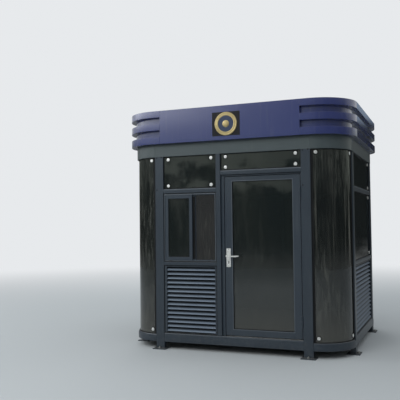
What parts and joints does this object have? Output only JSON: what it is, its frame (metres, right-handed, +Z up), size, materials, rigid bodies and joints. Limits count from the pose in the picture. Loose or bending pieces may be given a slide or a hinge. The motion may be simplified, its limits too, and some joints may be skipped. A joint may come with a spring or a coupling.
{
  "type": "security guard booth",
  "caption": "Walk-in guard booth with rounded glass corners, louvred lower walls, a sliding window, a glazed swing door and a grooved fascia, on short legs.",
  "frame": {"origin": "on the ground, under the middle of the roof", "axes": "+Z up, -Y out of the front with the door and the sliding window, +X towards the hinge side of the door"},
  "size_m": [2.702, 2.48, 2.728],
  "materials": {
    "frame_paint": "satin dark slate paint",
    "floor_steel": "worn grey steel",
    "lining": "matt grey board",
    "fascia_paint": "gloss indigo paint",
    "roof_sheet": "dusty grey sheet",
    "tinted_glass": "dark tinted, reflective",
    "louvre_paint": "satin blue-grey paint",
    "window_paint": "satin dark slate paint",
    "door_paint": "satin dark slate paint",
    "stainless": "satin"
  },
  "bodies": {
    "root": {"posts_front": "frame_paint", "posts_back": "frame_paint", "posts_left": "frame_paint", "posts_right": "frame_paint", "base_rails": "frame_paint", "base_corners": "frame_paint", "header_rails": "frame_paint", "header_corners": "frame_paint", "mullion_front": "frame_paint", "mullion_back": "frame_paint", "transom_rails": "frame_paint", "mid_rails": "frame_paint", "floor_joists": "floor_steel", "floor_panel": "floor_steel", "wall_linings": "lining", "ceiling_panel": "lining", "fascia_front": "fascia_paint", "fascia_back": "fascia_paint", "fascia_left": "fascia_paint", "fascia_right": "fascia_paint", "fascia_corners_front": "fascia_paint", "fascia_corners_back": "fascia_paint", "roof_deck": "roof_sheet", "corner_glass_front": "tinted_glass", "corner_glass_back": "tinted_glass", "transom_glass_front": "tinted_glass", "transom_glass_sides": "tinted_glass", "transom_glass_back": "tinted_glass", "window_glass_sides": "tinted_glass", "window_glass_back": "tinted_glass", "sash_panes": "tinted_glass", "louvre_front": "louvre_paint", "louvre_left": "louvre_paint", "louvre_right": "louvre_paint", "louvre_back": "louvre_paint", "window_frame": "window_paint", "sash_outer": "window_paint", "sash_inner": "window_paint", "door_frame": "door_paint", "hinge_frame_halves": "door_paint"},
    "door": {"door_leaf": "door_paint", "door_glass": "tinted_glass", "hinge_leaf_halves": "door_paint", "handle_plates": "stainless"},
    "lever": {"door_lever": "stainless"}
  },
  "joints": [
    {"name": "door_hinge", "type": "hinge", "parent": "root", "child": "door", "pos_m": [0.791, -1.16, 1.06], "axis": [0, 0, 1], "range_deg": [0, 90]},
    {"name": "lever_turn", "type": "hinge", "parent": "door", "child": "lever", "pos_m": [-0.024, -1.1225, 1.066], "axis": [0, 1, 0], "range_deg": [0, 45], "stiffness_Nm_per_rad": 3, "springref_deg": -17.19}
  ]
}
